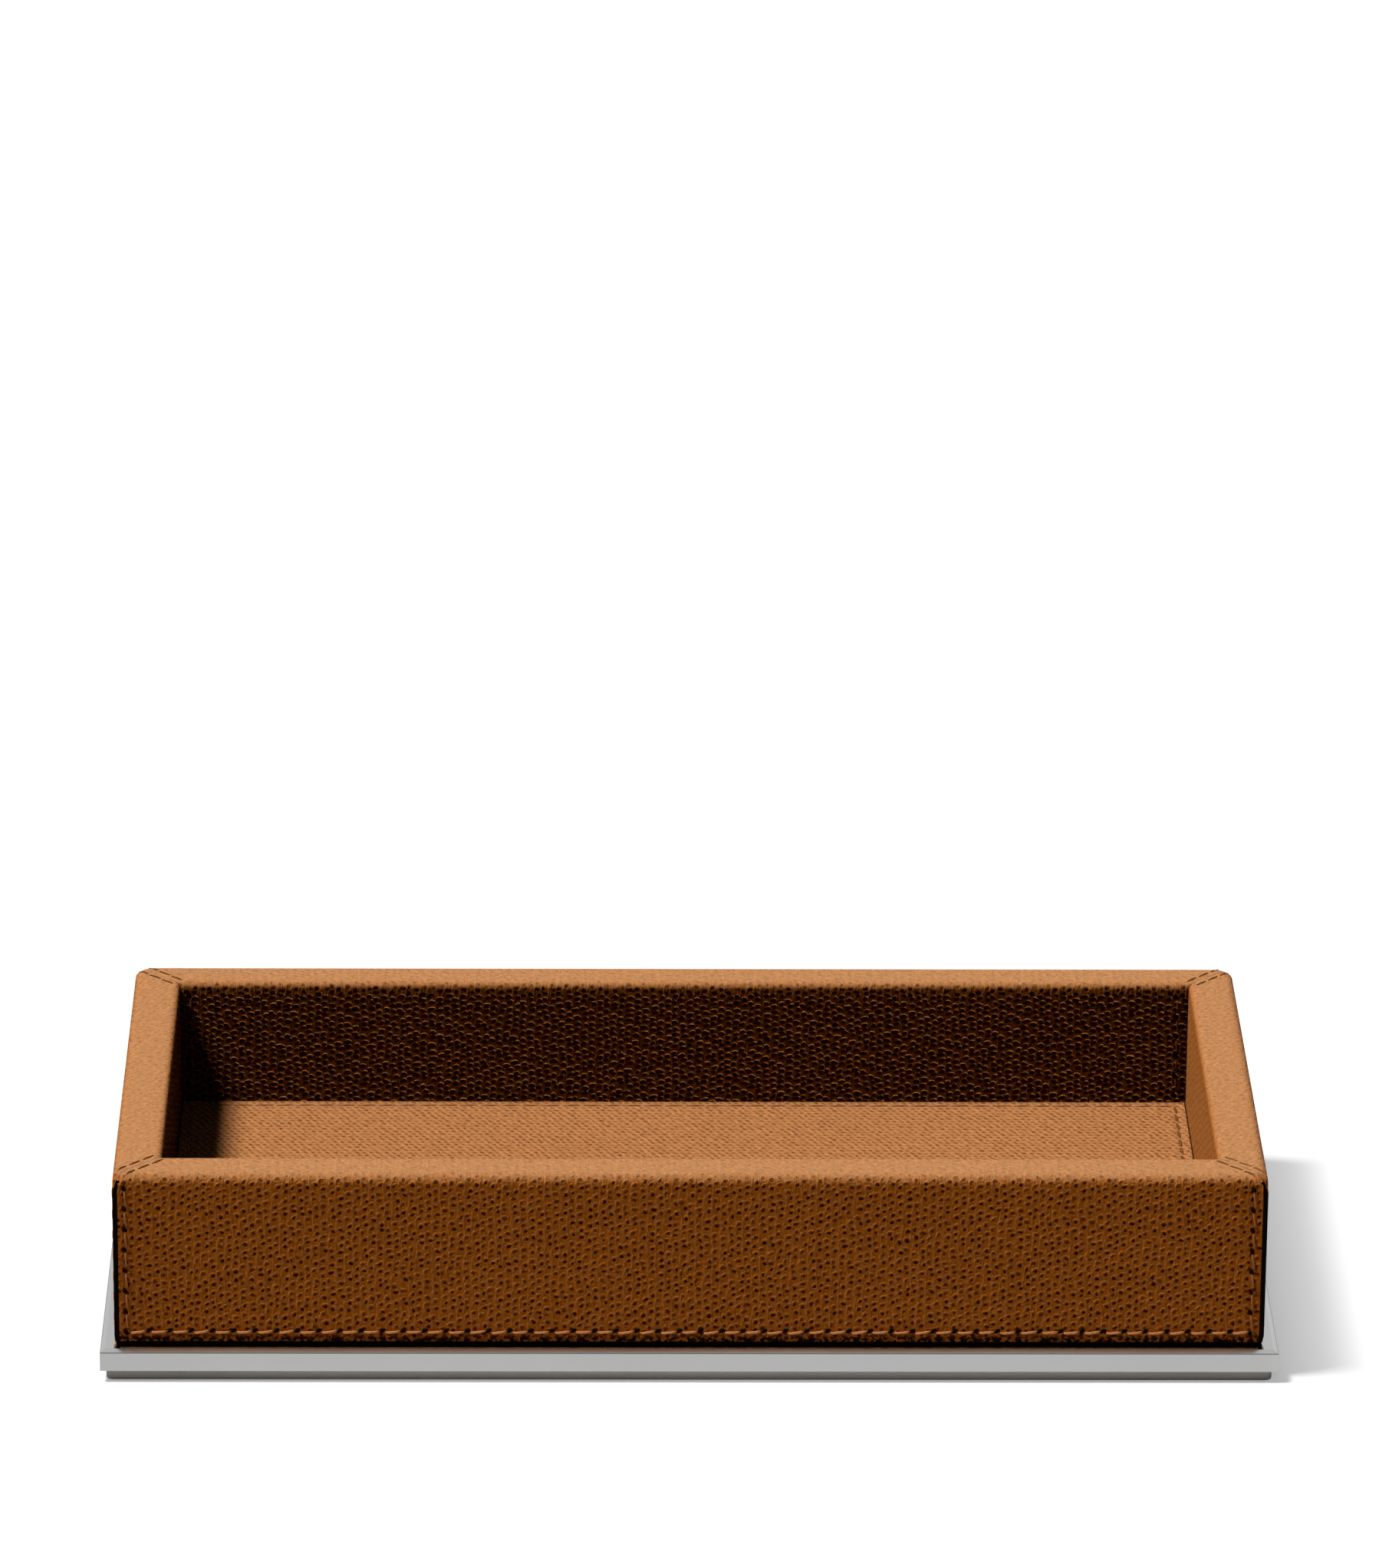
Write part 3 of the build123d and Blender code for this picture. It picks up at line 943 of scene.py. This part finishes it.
def make_cover(name, half_span, outer, short_flap, with_inner_rows, degrees):
    """One finished cover, made with its outer face to the front and then turned."""
    piece = fold_cover(name, half_span, outer, short_flap)
    press_furrows(piece, half_span, outer)
    turn(piece, degrees)
    round_corners(piece)
    thicken(piece)
    turn(piece, -degrees)
    rows = outer_rows(half_span, outer)
    if with_inner_rows:
        rows += inner_rows(half_span, outer)
    punch(piece, awl, hole_frames(rows))
    punch(piece, slitter, slit_frames(seam_rows(half_span, outer)))
    turn(piece, degrees)
    smooth(piece)
    return piece


def turned_copy(piece, name, degrees):
    """Copy of a piece turned about the upright axis."""
    copy = copy_of(piece)
    rename(copy, name)
    turn(copy, degrees)
    return copy


awl = make_awl("awl", HOLE_LONG, HOLE_WIDE, HOLE_DEEP, EDGE_SLOT)
slitter = make_awl("slitter", SLIT_LONG, SLIT_WIDE, SLIT_DEEP, SLIT_SLOT)
front = make_cover("leather_front", HALF_LENGTH, -HALF_WIDTH, True, True, 0)
left = make_cover("leather_left", HALF_WIDTH, -HALF_LENGTH, False, False, -90)
back = turned_copy(front, "leather_back", 180)
right = turned_copy(left, "leather_right", 180)
# The right cover takes the copy whose inner flap is painted pale, painted light.
right.data.materials[0] = lit_side_leather

for piece, node in ((front, "front_cover"), (back, "back_cover"),
                    (left, "left_cover"), (right, "right_cover")):
    stand_for(piece, node)

# %% [markdown]
# ## Floor leather
# The floor is one flat sheet with a row of stitches round it. A block is cut into a grid, its
# edges are softened and its upper face is pressed in along the stitch row.

# %% Make the floor
FLOOR_INSET = 2.2
FLOOR_CUTS = (-1.8, -1.1, -0.65, -0.3, 0.0, 0.3, 0.65, 1.1, 1.7)
FLOOR_FURROW, FLOOR_FALL, FLOOR_SOFTNESS = 0.16, 0.10, 0.2


def floor_rows():
    """Four rows round the floor."""
    x = floor_box[1].x / MM - FLOOR_INSET
    y = floor_box[1].y / MM - FLOOR_INSET
    corners = [Vector(place) for place in (
        (-x, -y, FLOOR_TOP), (x, -y, FLOOR_TOP), (x, y, FLOOR_TOP), (-x, y, FLOOR_TOP))]
    return [(corners[index - 1], corners[index], Vector((0, 0, 1))) for index in range(4)]


def press_floor(piece, reach_x, reach_y):
    """Presses the upper face in along the stitch row, and its rim a little down."""
    for vert in piece.data.vertices:
        x, y, z = vert.co / MM
        if z < FLOOR_TOP - 0.01:
            continue
        near = max(abs(x) - reach_x, abs(y) - reach_y)
        down = FLOOR_FURROW * bell(near, UPRIGHT_WIDTH)
        if near > 0.0:
            down += FLOOR_FALL * (near / FLOOR_INSET) ** 2
        vert.co.z -= down * MM


def make_floor():
    """Sewn sheet of the floor."""
    low, high = (corner / MM for corner in floor_box)
    piece = add_block("leather_floor", low, high)
    reach_x, reach_y = high.x - FLOOR_INSET, high.y - FLOOR_INSET
    bpy.ops.object.mode_set(mode="EDIT")
    for reach, direction in ((reach_x, (1, 0, 0)), (reach_y, (0, 1, 0))):
        cut_all([side * (reach + near) for near in FLOOR_CUTS for side in (-1, 1)], direction)
    bpy.ops.object.mode_set(mode="OBJECT")
    lay_out_sheet(piece, lambda y, z: y + z)
    press_floor(piece, reach_x, reach_y)
    give_materials(piece, floor_leather, edge_stain_and_hole_shade, slit_shade)
    for face in piece.data.polygons:
        if abs(face.normal.z) < 0.5:
            face.material_index = EDGE_SLOT
    soften(piece, FLOOR_SOFTNESS, 2, 55)
    punch(piece, slitter, slit_frames(floor_rows()))
    smooth(piece)
    stand_for(piece, "floor_leather")


make_floor()
remove(awl)
remove(slitter)

# %% [markdown]
# ## Thread
# The seams are sewn with a twisted, waxed thread in a warm tan. Each stitch is a short run
# that lies on the leather and dives into a hole at both ends. One stitch is modelled from an
# eight-sided cylinder with a few rings, bent down at its ends, and then copied along every
# row with a small seeded lean and length, as hand sewing has. The twist is drawn in its UV map.

# %% Thread material
THREAD_TONE = (0.86, 0.35, 0.115)
# Darker copy of the tan for the upright rows, painted shade.
SHADED_THREAD_TONE = (0.62, 0.22, 0.060)
# Darkest copy for the seams, the inner rows and the floor, painted shade where it lies sunk.
SUNK_SHADED_THREAD_TONE = (0.30, 0.095, 0.020)


def thread_material(name, base):
    """Twisted waxed thread."""
    recipe = Recipe(name)
    u, v, _ = recipe.parts(recipe.place("UV"))
    twist = ((u * 2.0 + v * 7.0) * (2 * math.pi)).sine() * 0.5 + 0.5
    patch = recipe.noise(recipe.place(), 260.0, 2.0)
    fibre = recipe.noise(recipe.place(), 5200.0, 2.0)
    tone = recipe.blend(twist ** 0.5, [c * 0.8 for c in base], base)
    tone = recipe.blend(patch * 0.25, tone, [c * 0.65 for c in base])
    return recipe.surface({
        "Base Color": tone,
        "Roughness": 0.42 + fibre * 0.25,
        "Specular IOR Level": 0.12,
        "Normal": recipe.bump(twist * 0.03 + fibre * 0.02, MM, 0.8),
    })


waxed_thread = thread_material("waxed_thread", THREAD_TONE)
shaded_thread = thread_material("shaded_thread", SHADED_THREAD_TONE)
sunk_shaded_thread = thread_material("sunk_shaded_thread", SUNK_SHADED_THREAD_TONE)

# %% Model one stitch
THREAD_RINGS = 6
DIVE = 0.40
STITCH_LENGTH = PITCH - HOLE_GAP + DIVE
THREAD_FLAT, END_TAPER, END_DROP = 0.92, 0.35, 0.75


def make_stitch(wide, rise, material):
    """One stitch along X, its ends bent down into the holes."""
    deselect_all()
    bpy.ops.mesh.primitive_cylinder_add(
        vertices=8, radius=wide / 2 * MM, depth=STITCH_LENGTH * MM,
        rotation=(0.0, math.pi / 2, 0.0), end_fill_type="NGON",
    )
    stitch = bpy.context.object
    stitch.name = "stitch"
    settle(stitch)
    bpy.ops.object.mode_set(mode="EDIT")
    pick(stitch, "EDGE", lambda a, b: abs(a.x - b.x) > STITCH_LENGTH * 0.9)
    bpy.ops.mesh.subdivide(number_cuts=THREAD_RINGS - 1)
    bpy.ops.object.mode_set(mode="OBJECT")
    for vert in stitch.data.vertices:
        along = abs(vert.co.x / MM) / (STITCH_LENGTH / 2)
        thin = 1.0 - END_TAPER * along ** 4
        vert.co.y *= thin
        vert.co.z = vert.co.z * THREAD_FLAT * thin + (rise - END_DROP * along ** 5) * MM
    smooth(stitch, 60)
    give_materials(stitch, material)
    return stitch


# %% Sew the rows
LENGTH_SPREAD, WIDTH_SPREAD = (0.96, 1.03), (0.92, 1.06)
LEAN_SPREAD, TILT_SPREAD, DRIFT_SPREAD = (-3.5, 3.5), (-1.5, 1.5), (-0.06, 0.06)


def sew(rows, seed, wide, rise, material, lean=6.0):
    """Stitches of several rows as one piece."""
    chance = random.Random(seed)
    matrices = []
    stitch = make_stitch(wide, rise, material)
    for row in rows:
        holes = stations(row)
        for first, second in zip(holes, holes[1:]):
            fit = (second - first).length - HOLE_GAP + DIVE
            stretch = fit / STITCH_LENGTH * chance.uniform(*LENGTH_SPREAD)
            yaw = math.radians(lean + chance.uniform(*LEAN_SPREAD))
            tilt = math.radians(chance.uniform(*TILT_SPREAD))
            drift = Matrix.Translation((0.0, chance.uniform(*DRIFT_SPREAD) * MM, 0.0))
            spin = Matrix.Rotation(yaw, 4, "Z") @ Matrix.Rotation(tilt, 4, "Y")
            shape = Matrix.Diagonal((stretch, chance.uniform(*WIDTH_SPREAD), 1.0, 1.0))
            matrices.append(row_frame(row, (first + second) / 2) @ drift @ spin @ shape)
    joined = copies_of(stitch, matrices, "thread")
    remove(stitch)
    return joined


def sewn_piece(name, node, *groups):
    """All the thread of one group of rows as one piece."""
    stand_for(join(groups, name), node)


def turned_rows(rows, *turns):
    """The same rows turned about the upright axis, once for each number of degrees."""
    turned = []
    for degrees in turns:
        spin = Matrix.Rotation(math.radians(degrees), 3, "Z")
        turned += [tuple(spin @ part for part in row) for row in rows]
    return turned


long_wall = (HALF_LENGTH, -HALF_WIDTH)
short_wall = (HALF_WIDTH, -HALF_LENGTH)
BOLD = {"wide": 0.60, "rise": 0.16, "material": waxed_thread}
THIN = {"wide": 0.46, "rise": 0.02, "material": shaded_thread}
SUNK = {"wide": 0.30, "rise": -0.16, "material": sunk_shaded_thread}
DARK = {"wide": 0.42, "rise": -0.04, "material": sunk_shaded_thread}
walls = (("front", long_wall, 0), ("back", long_wall, 180),
         ("left", short_wall, -90), ("right", short_wall, 90))
for seed, (side, wall, degrees) in enumerate(walls, start=11):
    rows = turned_rows(outer_rows(*wall), degrees)
    sewn_piece("thread_" + side, side + "_stitches",
               sew(rows[2:], seed, **BOLD), sew(rows[:2], seed + 20, **THIN))
seams = turned_rows(seam_rows(*long_wall), 0, 180) + turned_rows(seam_rows(*short_wall), -90, 90)
sewn_piece("thread_seams", "seam_stitches", sew(seams, 15, lean=2.0, **SUNK))
inner = turned_rows(inner_rows(*long_wall), 0, 180)
sewn_piece("thread_inner", "inner_stitches", sew(inner, 16, **DARK))
sewn_piece("thread_floor", "floor_stitches", sew(floor_rows(), 17, lean=2.0, **SUNK))

# %% [markdown]
# ## Base plate
# The plate is polished steel, 4.7 mm thick, with a flat bevel round its upper edge. A real
# arris is never quite sharp, so every edge gets a second, tiny bevel. A fine dark line is
# painted at the foot of the flat one, a painted dark reflection. The countersunk holes for
# the screws come in from below.

# %% Steel materials
def steel_material(name, tone, rough, brush, line=None):
    """Steel with faint scratches along X, and a painted dark reflection line at a level."""
    recipe = Recipe(name)
    x, y, z = recipe.parts(recipe.place())
    lines = recipe.noise(recipe.join(x * 6.0, y * 900.0, z * 900.0), 1.0, 2.0)
    smear = recipe.noise(recipe.place(), 22.0, 3.0)
    colour = recipe.blend(smear, [c * 0.96 for c in tone], [c * 1.04 for c in tone])
    # Painted dark reflection along one level, the foot of the bevel.
    if line is not None:
        dark = fade(z * (1.0 / MM) - line, 0.10, 4.0)
        colour = recipe.blend(dark * 0.75, colour, [c * 0.2 for c in tone])
    return recipe.surface({
        "Base Color": colour,
        "Metallic": 1.0,
        "Roughness": rough + (smear - 0.5) * 0.06 + (lines - 0.5) * 0.04,
        "Normal": recipe.bump(lines, brush * MM),
    })


BEVEL_RUN = 1.10
BEVEL_DROP = 0.625
bevel_foot = PLATE_TOP - BEVEL_DROP
plate_steel = steel_material("plate_steel", (0.42, 0.417, 0.415), 0.13, 0.003, bevel_foot)
screw_zinc = steel_material("screw_zinc", (0.50, 0.49, 0.46), 0.34, 0.01)

# %% Model the plate
ARRIS = 0.07
SCREW_SHARES = (-0.66, 0.0, 0.66)
SHAFT_RADIUS, HEAD_RADIUS, HEAD_DEPTH = 1.7, 2.9, 1.8


def make_plate():
    """Bevelled plate with its countersunk holes."""
    low, high = (corner / MM for corner in plate_box)
    piece = add_block("steel_plate", low, high)
    bpy.ops.object.mode_set(mode="EDIT")
    pick(piece, "EDGE", lambda a, b: same(a.z, high.z) and same(b.z, high.z))
    bpy.ops.mesh.bevel(offset=BEVEL_RUN * MM, segments=1, affect="EDGES")
    pick(piece, "VERT", lambda p: same(p.z, high.z - BEVEL_RUN))
    bpy.ops.transform.translate(value=(0.0, 0.0, (BEVEL_RUN - BEVEL_DROP) * MM))
    bpy.ops.object.mode_set(mode="OBJECT")
    soften(piece, ARRIS, 2, 25)
    cutter = make_countersink()
    punch(piece, cutter, [Matrix.Translation(place * MM) for place in screw_places()])
    remove(cutter)
    smooth(piece, 50)
    apply_modifier(piece, "WEIGHTED_NORMAL", keep_sharp=True)
    give_materials(piece, plate_steel)
    stand_for(piece, "base_plate")


def screw_places():
    """Places of the eight screws, in the middle of the wall boards."""
    x, y = HALF_LENGTH - WALL / 2, HALF_WIDTH - WALL / 2
    places = [Vector((share * x, side * y, PLATE_FOOT)) for side in (-1, 1)
              for share in SCREW_SHARES]
    return places + [Vector((side * x, 0.0, PLATE_FOOT)) for side in (-1, 1)]


def make_countersink():
    """Cutter of one hole: a shaft with a cone at its foot."""
    deselect_all()
    bpy.ops.mesh.primitive_cylinder_add(vertices=32, radius=SHAFT_RADIUS * MM, depth=12 * MM,
                                        location=(0, 0, 5 * MM))
    shaft = bpy.context.object
    bpy.ops.object.mode_set(mode="EDIT")
    pick(shaft, "FACE", lambda centre, normal: normal.z < -0.9)
    widen = HEAD_RADIUS / SHAFT_RADIUS
    bpy.ops.transform.translate(value=(0, 0, (1.0 + HEAD_DEPTH) * MM))
    bpy.ops.mesh.extrude_region_move(TRANSFORM_OT_translate={"value": (0, 0, -HEAD_DEPTH * MM)})
    bpy.ops.transform.resize(value=(widen, widen, 1.0))
    bpy.ops.mesh.extrude_region_move(TRANSFORM_OT_translate={"value": (0, 0, -2.0 * MM)})
    bpy.ops.object.mode_set(mode="OBJECT")
    shaft.name = "countersink"
    settle(shaft)
    return shaft


make_plate()

# %% [markdown]
# ## Rubber underlay
# A grey rubber sheet under the plate keeps the tray from slipping. Its corners are rounded in
# plan and its lower and upper edges are a little soft. Its surface is matt with a fine grain.

# %% Rubber material and underlay
UNDERLAY_CORNER, UNDERLAY_SOFTNESS = 1.5, 0.25


def rubber_material():
    """Matt grey rubber."""
    recipe = Recipe("grey_rubber")
    grain = recipe.noise(recipe.place(), 1500.0, 3.0)
    cloud = recipe.noise(recipe.place(), 30.0, 2.0)
    tone = recipe.blend(cloud, (0.60, 0.62, 0.66), (0.68, 0.70, 0.74))
    return recipe.grained(grain, tone, 0.82, 0.2, 0.2, 0.06)


def make_underlay():
    """Underlay with rounded corners."""
    low, high = (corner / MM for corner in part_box("base_underlay"))
    piece = add_block("rubber_underlay", low, high)
    bpy.ops.object.mode_set(mode="EDIT")
    pick(piece, "EDGE", lambda a, b: abs(a.z - b.z) > 1.0)
    bpy.ops.mesh.bevel(offset=UNDERLAY_CORNER * MM, segments=8, affect="EDGES")
    bpy.ops.object.mode_set(mode="OBJECT")
    soften(piece, UNDERLAY_SOFTNESS, 3, 50)
    smooth(piece, 40)
    give_materials(piece, rubber_material())
    stand_for(piece, "base_underlay")


make_underlay()

# %% [markdown]
# ## Inside the walls
# The boards, the splines, the card and the screws keep their imported shapes, which are right
# already, and only get their materials: pale fibreboard, hard wood keys, grey card and zinc.
# The feet of the boards are darkened to near black, painted shade, so that nothing pale
# shows under the leather.

# %% Materials of the hidden pieces
SHADE_PAINT_RISE = 1.2


def board_material():
    """Fibreboard: pressed fibres in a pale brown."""
    recipe = Recipe("fibreboard")
    level = recipe.parts(recipe.place())[2] * (1.0 / MM)
    fleck = recipe.noise(recipe.place(), 900.0, 4.0, 0.65)
    cloud = recipe.noise(recipe.place(), 45.0, 3.0)
    tone = recipe.blend(fleck, (0.34, 0.22, 0.13), (0.50, 0.35, 0.22))
    tone = recipe.blend(cloud * 0.3, tone, (0.40, 0.26, 0.15))
    # Painted shade: near black at the feet of the boards, in the gap under the leather.
    painted = fade(level - PLATE_TOP, FLAP_FOOT - PLATE_TOP + SHADE_PAINT_RISE, 8.0)
    tone = recipe.blend(painted, tone, (0.004, 0.003, 0.002))
    return recipe.grained(fleck, tone, 0.75, 0.2, 0.03, 0.08)


def key_material():
    """Hard wood with its grain along X."""
    recipe = Recipe("key_wood")
    x, y, z = recipe.parts(recipe.place())
    grain = recipe.noise(recipe.join(x * 40.0, y * 700.0, z * 700.0), 1.0, 4.0, 0.6)
    tone = recipe.blend(grain, (0.42, 0.23, 0.10), (0.62, 0.40, 0.21))
    return recipe.grained(grain, tone, 0.55, 0.2, 0.3, 0.08)


def card_material():
    """Grey pulp card."""
    recipe = Recipe("pulp_card")
    pulp = recipe.noise(recipe.place(), 1400.0, 4.0, 0.6)
    tone = recipe.blend(pulp, (0.30, 0.29, 0.27), (0.42, 0.41, 0.38))
    return recipe.grained(pulp, tone, 0.85, 0.1, 0.2, 0.05)


kept = {
    board_material(): ("front_board", "back_board", "left_board", "right_board", "bottom_board"),
    key_material(): ("corner_splines",),
    card_material(): ("floor_card",),
    screw_zinc: ("base_screws",),
}
for material, names in kept.items():
    for name in names:
        give_materials(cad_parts[name], material)
print("kept nodes:", sum(len(names) for names in kept.values()))

# %% [markdown]
# ## Table and light
# The tray stands on a white table that fades into a white background, with one broad lamp
# overhead, a little to the left: it leaves a strip of shadow along the inside of the left
# wall and a soft shadow on the table to the right. A sun lamp with a wide disc does that
# evenly over the whole table. To the right of the tray the table also glows in a painted
# ramp that lightens its shadow, painted light, so that the shadow fades out gradually. The
# white is written in the table and in the world for camera, glossy and clear rays, so no more
# light falls on the tray. Seen from below, the table is clear and the room lights the foot of
# the tray, which changes nothing above the table.

# %% Table
def seen_rays(recipe):
    """One for rays that come from the camera or from shiny or clear surfaces."""
    path = recipe.tree.nodes.new("ShaderNodeLightPath")
    names = ("Is Camera Ray", "Is Glossy Ray", "Is Transmission Ray")
    camera_ray, glossy, clear = (Wire(recipe, path.outputs[name]) for name in names)
    return camera_ray.most(glossy).most(clear)


TABLE_SIZE = 8.0
TABLE_GAP = 0.02
SHADE_REACH = 0.026
SHADE_STOPS = [(0.0, 0.34), (0.54, 0.62), (0.77, 0.47), (1.0, 0.37)]


def table_material():
    """White with its shadow where it is seen, lifted by a painted glow to the right of the tray,
    tan-grey for the light it gives.
    """
    recipe = Recipe("white_table")
    haze = recipe.noise(recipe.place(), 6.0, 2.0)
    # Painted light: to the right of the tray a glow ramp lightens the table's shadow.
    right_of_tray = recipe.parts(recipe.place())[0] - HALF_LENGTH * MM
    painted_shadow_glow = recipe.ramp(right_of_tray * (1.0 / SHADE_REACH), SHADE_STOPS)
    glow = recipe.node("ShaderNodeEmission", None, {"Color": painted_shadow_glow, "Strength": 1.0})
    white = recipe.blend(haze, (0.70, 0.70, 0.70), (0.72, 0.72, 0.72))
    lit = recipe.node("ShaderNodeBsdfDiffuse", None, {"Color": white})
    seen = recipe.node("ShaderNodeAddShader", None, {0: glow, 1: lit})
    pale = recipe.blend(haze, (0.41, 0.355, 0.29), (0.43, 0.375, 0.31))
    giving = recipe.node("ShaderNodeBsdfDiffuse", None, {"Color": pale})
    mixed = recipe.node("ShaderNodeMixShader", None, {0: seen_rays(recipe), 1: giving, 2: seen})
    behind = recipe.node("ShaderNodeNewGeometry", output="Backfacing")
    clear = recipe.node("ShaderNodeBsdfTransparent")
    mixed = recipe.node("ShaderNodeMixShader", None, {0: behind, 1: mixed, 2: clear})
    recipe.node("ShaderNodeOutputMaterial", None, {"Surface": mixed})
    return recipe.owner


deselect_all()
bpy.ops.mesh.primitive_plane_add(size=TABLE_SIZE, location=(0.0, 0.0, -TABLE_GAP * MM))
table = bpy.context.object
table.name = "table"
table.data.materials.append(table_material())

# %% Lamp and world
LAMP_STRENGTH = 3.35
LAMP_WIDTH = math.radians(13.0)
LAMP_TURN = (math.radians(1.5), math.radians(-23.5), 0.0)
ROOM_LIGHT, LOW_LIGHT = 0.005, 0.6

lamp_data = bpy.data.lights.new("overhead_lamp", "SUN")
lamp_data.energy = LAMP_STRENGTH
lamp_data.angle = LAMP_WIDTH
lamp = bpy.data.objects.new("overhead_lamp", lamp_data)
lamp.rotation_euler = LAMP_TURN
scene.collection.objects.link(lamp)

room = Recipe("white_room", bpy.data.worlds)
scene.world = room.owner
below = (room.parts(room.place("Generated"))[2] * -50.0).most(0.0).least(1.0)
strength = (seen_rays(room) * (1.0 - ROOM_LIGHT) + ROOM_LIGHT).most(below * LOW_LIGHT)
sky = room.node("ShaderNodeBackground", None, {"Color": (1, 1, 1, 1), "Strength": strength})
room.node("ShaderNodeOutputWorld", None, {"Surface": sky})

scene.view_settings.view_transform = "Standard"
